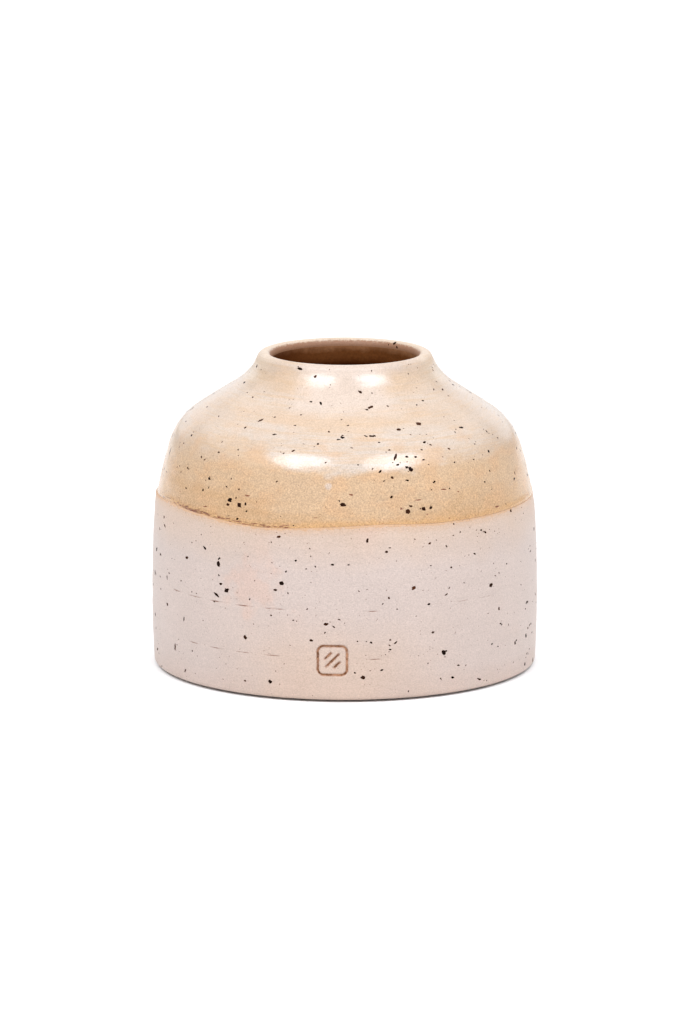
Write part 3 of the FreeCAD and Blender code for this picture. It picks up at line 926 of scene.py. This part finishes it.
def clay_finish():
    """Bare pale stoneware: warm under the glaze line and at the foot, grainy, freckled, faintly streaked."""
    f = Finish("bare_speckled_stoneware")
    drift = f.spread(f.noise(9, seed=1), 2.2)
    level = f.plus(f.height, drift)
    colour = f.ramp(level, 0, LEDGE_HEIGHT, [(0, CLAY_BASE), (7, CLAY_COLOUR), (33, CLAY_COLOUR),
                                             (LEDGE_HEIGHT - 1, CLAY_UNDER_GLAZE)])
    blush = f.span(f.noise(22, seed=2, detail=2), 0.54, 0.78)
    colour = f.mix(f.times(blush, 0.5), colour, CLAY_BLUSH)
    near = f.span(f.plus(f.distance(BLUSH_PLACE), f.spread(f.noise(4, seed=44, detail=5), 7)), 2, 9, 0.5, 0.0)
    colour = f.mix(near, colour, CLAY_BLUSH)
    off_front = f.math("ABSOLUTE", f.plus(f.azimuth, f.spread(f.noise(9, seed=49), 0.1)))
    front = f.span(off_front, 0.1, 0.8, 0.8, 0.0)
    colour = f.mix(f.times(front, f.span(level, 26, 9)), colour, CLAY_WARM)
    above = f.attribute("above_ledge")
    frayed = f.plus(f.spread(f.noise(1.1, flat=2, seed=3), 0.5), f.spread(f.noise(5, seed=37), 0.25))
    fringe = f.plus(above, frayed)
    colour = f.mix(f.span(fringe, -2.4, -0.7, 0.0, 0.3), colour, CLAY_SOAKED)
    colour = f.mix(f.span(fringe, -0.7, -0.25, 0.0, 0.85), colour, CLAY_SOAKED)
    streaks = f.noise(16, flat=14, seed=4, detail=4)
    grain = f.noise(0.4, flat=1.3, seed=5, detail=3)
    cloud = f.noise(14, seed=6)
    colour = f.shade(colour, f.spread(streaks, 0.022))
    colour = f.shade(colour, f.spread(cloud, 0.028))
    colour = f.shade(colour, f.spread(grain, 0.16))
    freckles = f.span(f.noise(0.55, seed=7, detail=1), 0.7, 0.75, 0.0, 0.55)
    colour = f.mix(freckles, colour, IRON_BROWN)
    stain = f.times(f.attribute("groove"), f.span(f.noise(1.1, seed=8), 0.3, 0.6, 0.3, 0.85))
    colour = f.mix(stain, colour, CLAY_STAIN)
    scratch = f.times(f.span(f.attribute("ring"), 0.25, 0.85),
                      f.span(f.noise(2.2, seed=9), 0.38, 0.54, 0.2, 0.9))
    colour = f.mix(scratch, colour, CLAY_SCRATCH)
    roughness = f.span(f.noise(5, seed=10), 0.3, 0.7, 0.74, 0.88)
    normal = f.bump(streaks, 0.05)
    normal = f.bump(grain, 0.04, normal)
    return f.finish(colour, roughness, normal, Specular_IOR_Level=0.35, Sheen_Weight=0.2, Sheen_Roughness=0.5)


def dipped_finish():
    """Glossy glaze: a honey band over the ledge, cream with streaks above it, and honey again in the neck."""
    f = Finish("honey_cream_glaze")
    sway = f.spread(f.noise(26, flat=0.6, seed=11, detail=2), 1.6)
    ripple = f.spread(f.noise(6, flat=2.0, seed=12, detail=5), 2.4)
    drift = f.times(f.plus(sway, ripple), f.span(f.height, 60, 72, 1.0, 0.35))
    # Cream brought lower at the front: partly a glaze run, partly painted reflection.
    front_distance = f.math("ABSOLUTE", f.math("SUBTRACT", f.azimuth, RUN_AND_REFLECTION_AZIMUTH))
    run_and_reflection_fall = f.times(f.span(front_distance, 0.05, RUN_AND_REFLECTION_REACH, -0.4, RUN_AND_REFLECTION_DROP), f.span(f.azimuth, -0.8, 0.6, 1.6, 0.9))
    drift = f.math("SUBTRACT", drift, f.times(run_and_reflection_fall, f.span(f.height, 64, 70, 1.0, 0.0)))
    colour = f.ramp(f.plus(f.height, drift), LEDGE_HEIGHT, DIPPED_HIGH.z, [
        (LEDGE_HEIGHT, HONEY_DARK), (50, HONEY), (57, HONEY), (59.5, CREAM), (66, CREAM), (69, CREAM_STREAK),
        (72.5, CREAM), (75, CREAM_STREAK), (76.5, HONEY), (79, CREAM_STREAK), (80.3, LIP_CREAM)])
    streaks = f.noise(22, flat=16, seed=13, detail=4)
    banded = f.times(f.span(streaks, 0.46, 0.62), f.span(f.height, 57, 61, 0.1, 0.85))
    # Cream darkened towards both sides, broken up in patches: painted shade, against the brighter glancing
    # reflection there.
    side_shade_breakup = f.span(f.noise(11, flat=2.2, seed=45, detail=5), 0.4, 0.6, 0.45, 1.0)
    side_painted_shade = f.times(f.span(front_distance, 0.3, 1.0, 0.0, 0.9), f.times(f.span(f.height, 57, 61), side_shade_breakup))
    colour = f.mix(banded, colour, CREAM_STREAK)
    colour = f.mix(side_painted_shade, colour, CREAM_PAINTED_SHADE)
    # The neck lighter towards its sides: painted light where its hollow falls into shade.
    painted_light_flank = f.times(f.span(front_distance, 0.8, 1.3, 0.0, 0.7), f.span(f.height, 74, 76))
    colour = f.mix(painted_light_flank, colour, FLANK_PAINTED_LIGHT)
    warm = f.times(f.span(f.noise(7, flat=1.5, seed=48, detail=4), 0.46, 0.64, 0.0, 0.4),
                   f.span(f.height, 62, 68, 1.0, 0.3))
    colour = f.mix(warm, colour, HONEY_WARM)
    fine_streaks = f.times(f.noise(9, flat=22, seed=38, detail=3), f.span(f.height, 56, 59, 0.0, 1.0))
    colour = f.mix(f.span(fine_streaks, 0.5, 0.62, 0.0, 0.35), colour, HONEY)
    # A paler patch at the front of the neck, round the soft boxes' highlights: painted highlight.
    ragged_front_distance = f.plus(front_distance, f.spread(f.noise(6, seed=43), 0.12))
    painted_highlight_patch = f.times(f.span(ragged_front_distance, 0.3, 0.6, 0.9, 0.0), f.span(f.height, 69, 73))
    colour = f.mix(painted_highlight_patch, colour, NECK_PAINTED_HIGHLIGHT)
    away = f.plus(f.distance(PINHOLE_PLACE), f.spread(f.noise(0.8, seed=46), 0.3))
    colour = f.mix(f.span(away, 0.6, 1.15, 0.8, 0.0), colour, LIP_CREAM)
    # The inner face of the lip takes the liner's colour, with a ragged edge.
    lip_inside_reach = f.plus(f.radius, f.spread(f.noise(0.6, seed=50, detail=4), 0.3))
    inner = f.span(lip_inside_reach, THROAT_RADIUS + 1.0, THROAT_RADIUS + 0.4)
    colour = f.mix(inner, colour, LINER_LIP)
    above = f.attribute("above_ledge")
    edge = f.span(f.plus(above, f.spread(f.noise(3, seed=14), 0.7)), 0.3, 2.0, 0.85, 0.0)
    colour = f.mix(edge, colour, HONEY_EDGE)
    scar = f.times(f.span(f.noise(2.6, flat=9, seed=15, detail=3), 0.54, 0.62),
                   f.times(f.span(above, 0.4, 1.9, 0.75, 0.0), f.span(f.azimuth, -0.1, -0.6)))
    colour = f.mix(scar, colour, IRON_BROWN)
    flecks = f.times(f.span(f.noise(0.5, seed=47, detail=2), 0.58, 0.66), f.span(above, 0.3, 2.6, 0.6, 0.0))
    colour = f.mix(flecks, colour, RUST_PALE)
    mottle = f.noise(0.38, seed=16, detail=3)
    cloud = f.noise(10, flat=1.5, seed=17)
    colour = f.shade(colour, f.spread(cloud, 0.042))
    colour = f.shade(colour, f.spread(f.noise(2.2, flat=1.6, seed=51, detail=5), 0.035))
    colour = f.shade(colour, f.times(f.spread(mottle, 0.32), f.span(f.height, 55, 62, 1.0, 0.55)))
    freckles = f.span(f.noise(0.6, seed=18, detail=1), 0.72, 0.77, 0.0, 0.5)
    colour = f.mix(freckles, colour, IRON_BROWN)
    dull = f.math("MAXIMUM", f.times(inner, 0.4), f.span(f.height, 78.3, 80, 0.0, 0.25))
    roughness = f.plus(f.span(f.noise(4, seed=19), 0.3, 0.7, 0.17, 0.25), dull)
    normal = f.bump(f.noise(3.2, flat=1.6, seed=20, detail=2), 0.09)
    normal = f.bump(mottle, 0.008, normal)
    return f.finish(colour, roughness, normal, IOR=1.66)


def liner_finish():
    """The poured coat inside: a darker tan gloss, lighter at the throat, with painted shade that makes it
    darkest a little way down the throat and on one side.
    """
    f = Finish("poured_tan_glaze")
    sway = f.plus(f.spread(f.noise(12, flat=0.6, seed=21), 0.7),
                  f.spread(f.noise(1.6, seed=52, detail=4), 0.5))
    # Darkest a little way down the throat: painted shade of the inside.
    colour = f.ramp(f.plus(f.height, sway), 0, LIP_HEIGHT, [
        (0, LINER_POOL), (52, LINER_POOL), (68, LINER_PAINTED_SHADE), (74.6, LINER_PAINTED_SHADE), (77.0, LINER_TAN),
        (78.0, LINER_TAN), (79.6, LINER_LIP)])
    # Darker on one side of the inside: painted shade.
    shaded = f.span(f.math("ABSOLUTE", f.plus(f.azimuth, 1.5)), 0.3, 1.3, 0.75, 0.0)
    colour = f.mix(shaded, colour, LINER_PAINTED_SHADE)
    colour = f.shade(colour, f.spread(f.noise(8, flat=8, seed=22), 0.1))
    colour = f.shade(colour, f.spread(f.noise(0.5, seed=23, detail=4), 0.2))
    roughness = f.span(f.noise(5, seed=24), 0.3, 0.7, 0.26, 0.38)
    return f.finish(colour, roughness, f.bump(f.noise(4, flat=2, seed=25), 0.1), Specular_IOR_Level=0.08)


def oxide_finish():
    """The iron wash in the chop: dry, thin in places."""
    f = Finish("iron_oxide_wash")
    colour = f.mix(f.span(f.noise(1.4, seed=26), 0.38, 0.62), OXIDE, OXIDE_THIN)
    colour = f.shade(colour, f.spread(f.noise(0.3, seed=27), 0.12))
    roughness = f.span(f.noise(0.8, seed=28), 0.3, 0.7, 0.7, 0.9)
    return f.finish(colour, roughness, f.bump(f.noise(0.25, seed=29), 0.03), Specular_IOR_Level=0.3)


def iron_finish(name, low_roughness, high_roughness):
    """A speck of iron: nearly black in its core, with a brown rim where it melted into what lies round it."""
    f = Finish(name)
    dark = f.mix(f.attribute("tone"), IRON, IRON_BROWN)
    core = f.span(f.plus(f.attribute("core"), f.spread(f.noise(0.3, seed=30), 0.25)), 0.1, 0.7)
    colour = f.shade(f.mix(core, IRON_RIM, dark), f.spread(f.noise(0.2, seed=31), 0.15))
    roughness = f.span(f.noise(0.5, seed=32), 0.3, 0.7, low_roughness, high_roughness)
    return f.finish(colour, roughness, f.bump(f.noise(0.25, seed=33), 0.02), Specular_IOR_Level=0.06)


def rust_finish():
    """Rusty iron that bled into the glaze where it crawled."""
    f = Finish("rusty_glaze_stain")
    core = f.span(f.plus(f.attribute("core"), f.spread(f.noise(0.4, seed=39), 0.35)), 0.2, 0.9)
    colour = f.mix(f.times(core, f.span(f.attribute("tone"), 0.0, 0.7, 1.0, 0.4)), RUST_PALE, RUST)
    colour = f.shade(colour, f.spread(f.noise(0.3, seed=40), 0.12))
    roughness = f.span(f.noise(0.5, seed=41), 0.3, 0.7, 0.2, 0.35)
    return f.finish(colour, roughness, f.bump(f.noise(0.3, seed=42), 0.02), Specular_IOR_Level=0.4)


def floor_finish():
    f = Finish("white_sweep")
    colour = f.shade(srgb(242, 242, 242), f.spread(f.noise(300, seed=34), 0.004))
    roughness = f.span(f.noise(60, seed=35), 0.3, 0.7, 0.86, 0.92)
    return f.finish(colour, roughness, f.bump(f.noise(2, seed=36), 0.01))


# ---------------------------------------------------------------- studio

CAMERA_AZIMUTH = math.radians(3.65)
CAMERA_DISTANCE = 1500.0
CAMERA_HEIGHT = 342.1
CAMERA_ASIDE = -0.85
CAMERA_PITCH = math.radians(11.42)
SENSOR = 36.0
LENS = 207.66

# Soft boxes: name, azimuth from the camera and elevation in degrees, width and height, distance, radiance.
Lamp = namedtuple("Lamp", "name azimuth elevation width height distance radiance")
LAMPS = [
    Lamp("soft_box_left", -37, 48, 560, 400, 1000, 6.2),
    Lamp("soft_box_right", 39, 47, 560, 400, 1000, 6.2),
    Lamp("back_panel", 180, 17, 2400, 800, 1500, 0.62),
]
# The soft boxes are a little cooler than white.
LAMP_COLOUR = (0.95, 0.99, 1.07)
OVERHEAD_IRRADIANCE = 1.7
OVERHEAD_SPREAD = math.radians(120)
WORLD_STRENGTH = 0.65
FLOOR_SIZE = 12000.0


def turned_about_axis(across, back, up):
    """A place given in the camera's own directions, in metres in the vase's frame."""
    cosine, sine = math.cos(CAMERA_AZIMUTH), math.sin(CAMERA_AZIMUTH)
    return across * cosine - back * sine, across * sine + back * cosine, up


def make_camera():
    camera = bpy.data.objects.new("camera", bpy.data.cameras.new("camera"))
    camera.data.sensor_fit = "AUTO"
    camera.data.sensor_width = SENSOR
    camera.data.lens = LENS
    camera.location = turned_about_axis(CAMERA_ASIDE * MM, -CAMERA_DISTANCE * MM, CAMERA_HEIGHT * MM)
    camera.rotation_euler = Euler((math.pi / 2 - CAMERA_PITCH, 0, CAMERA_AZIMUTH))
    bpy.context.scene.collection.objects.link(camera)
    bpy.context.scene.camera = camera


def make_lamp(lamp):
    """A soft box that looks at the middle of the vase, with its power worked out from its radiance."""
    data = bpy.data.lights.new(lamp.name, "AREA")
    data.shape = "ELLIPSE"
    data.size = lamp.width * MM
    data.size_y = lamp.height * MM
    data.energy = lamp.radiance * math.pi * (math.pi / 4 * data.size * data.size_y)
    target = Vector((0, 0, DIPPED_HIGH.z / 2 * MM))
    azimuth, elevation = math.radians(lamp.azimuth), math.radians(lamp.elevation)
    level = math.cos(elevation)
    across, back = level * math.sin(azimuth), -level * math.cos(azimuth)
    toward = Vector(turned_about_axis(across, back, math.sin(elevation)))
    data.color = LAMP_COLOUR
    light = bpy.data.objects.new(lamp.name, data)
    light.location = target + toward * lamp.distance * MM
    light.rotation_euler = toward.to_track_quat("Z", "Y").to_euler()
    bpy.context.scene.collection.objects.link(light)


def make_overhead():
    """A wide even light from straight above, as from a ceiling of white cloth."""
    data = bpy.data.lights.new("overhead_cloth", "SUN")
    data.energy = OVERHEAD_IRRADIANCE
    data.angle = OVERHEAD_SPREAD
    bpy.context.scene.collection.objects.link(bpy.data.objects.new("overhead_cloth", data))


def make_floor(material):
    half = FLOOR_SIZE / 2 * MM
    mesh = bpy.data.meshes.new("floor")
    corners = [(-half, -half, 0), (half, -half, 0), (half, half, 0), (-half, half, 0)]
    mesh.from_pydata(corners, [], [(0, 1, 2, 3)])
    mesh.materials.append(material)
    floor = bpy.data.objects.new("floor", mesh)
    bpy.context.scene.collection.objects.link(floor)


def make_world():
    world = bpy.data.worlds.new("white_studio")
    world.use_nodes = True
    background = world.node_tree.nodes["Background"]
    background.inputs["Color"].default_value = (1, 1, 1, 1)
    background.inputs["Strength"].default_value = WORLD_STRENGTH
    bpy.context.scene.world = world


# ---------------------------------------------------------------- the vase

make_camera()
make_clay(clay_finish())
make_dipped_coat(dipped_finish())
make_poured_coat(liner_finish())
make_chop_wash(oxide_finish())

placing = np.random.default_rng(SEED)
wall_specks = [speck for speck in random_specks(WALL_SKIN, UNDERCUT_HEIGHT + 1, LEDGE_HEIGHT - 0.6, placing)
               if clear_of_chop(speck)]
coat_specks = random_specks(DIPPED_SKIN, LEDGE_HEIGHT + 0.4, DIPPED_HIGH.z - 0.8, placing)
make_specks("clay_iron_specks", WALL_SKIN, wall_specks,
            iron_finish("iron_in_clay", 0.55, 0.8), "bare_stoneware", SEED + 8)
make_specks("glaze_iron_specks", DIPPED_SKIN, lip_specks(DIPPED_SKIN) + coat_specks,
            iron_finish("iron_in_glaze", 0.12, 0.25), "honey_glaze", SEED + 9)
make_specks("glaze_rust_stains", DIPPED_SKIN, rust_marks(placing) + crawl_marks(placing),
            rust_finish(), "honey_glaze", SEED + 10)

make_floor(floor_finish())
make_world()
make_overhead()
for lamp in LAMPS:
    make_lamp(lamp)
bpy.context.scene.view_settings.view_transform = "Standard"

bpy.context.view_layer.update()
